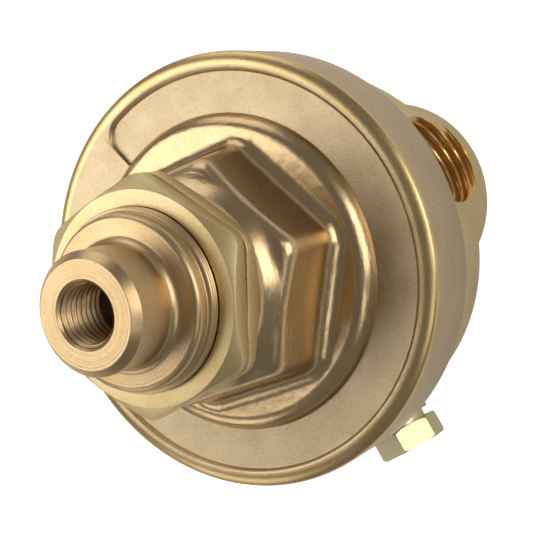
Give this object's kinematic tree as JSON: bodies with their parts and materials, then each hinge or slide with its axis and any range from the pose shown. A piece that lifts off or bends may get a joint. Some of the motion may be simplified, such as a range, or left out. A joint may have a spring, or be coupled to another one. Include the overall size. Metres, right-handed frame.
{
  "type": "gas pressure regulator",
  "caption": "Brass single-stage gas pressure regulator for panel mounting, with opposite tapped ports, a plugged gauge port and a spring-loaded diaphragm valve.",
  "frame": {"origin": "on the flat back face, where the main axis meets it", "axes": "+Z along the main axis towards the nose, +X out of the outlet port, -Y out of the plugged gauge port"},
  "size_m": [0.084, 0.0885, 0.0846],
  "materials": {
    "bonnet_brass": "satin",
    "body_brass": "satin",
    "nut_brass": "machined",
    "fitting_brass": "machined",
    "spring_steel": "drawn",
    "hardened_steel": "polished",
    "plate_alloy": "turned",
    "diaphragm_rubber": "matte",
    "seat_plastic": "matte",
    "screen_steel": "woven"
  },
  "bodies": {
    "housing": {"body": "body_brass", "bonnet": "bonnet_brass", "panel_nut_front": "nut_brass", "panel_nut_rear": "nut_brass", "port_plug": "fitting_brass", "slip_ring": "plate_alloy", "diaphragm": "diaphragm_rubber", "loading_spring": "spring_steel", "seat_nozzle": "fitting_brass", "nozzle_gasket": "seat_plastic", "valve_cage": "fitting_brass", "inlet_screen": "screen_steel", "poppet_spring": "spring_steel"},
    "button": {"spring_button": "plate_alloy", "thrust_ball": "hardened_steel"},
    "screw": {"adjusting_screw": "hardened_steel"},
    "plate": {"diaphragm_plate": "plate_alloy", "diaphragm_washer": "fitting_brass", "diaphragm_nut": "fitting_brass"},
    "poppet": {"valve_stem": "fitting_brass", "seat_insert": "seat_plastic"}
  },
  "joints": [
    {"name": "button_travel", "type": "slide", "parent": "housing", "child": "button", "axis": [0, 0, 1], "range_m": [-0.00317, 0.00317], "deforming": ["loading_spring"]},
    {"name": "screw_turn", "type": "hinge", "parent": "button", "child": "screw", "pos_m": [0, 0, 0.0631], "axis": [0, 0, 1], "range_deg": [-900, 900]},
    {"name": "diaphragm_stroke", "type": "slide", "parent": "housing", "child": "plate", "axis": [0, 0, 1], "range_m": [-0.001, 0], "stiffness_N_per_m": 3000, "springref_m": 0.001, "deforming": ["diaphragm"]},
    {"name": "poppet_lift", "type": "slide", "parent": "housing", "child": "poppet", "axis": [0, 0, 1], "range_m": [-0.001, 0], "stiffness_N_per_m": 1500, "springref_m": 0.002, "deforming": ["poppet_spring"]}
  ],
  "couplings": [
    {"joint": "screw_turn", "follows": "button_travel", "rad_per_m": 4947.4},
    {"joint": "poppet_lift", "follows": "diaphragm_stroke", "ratio": 1}
  ]
}
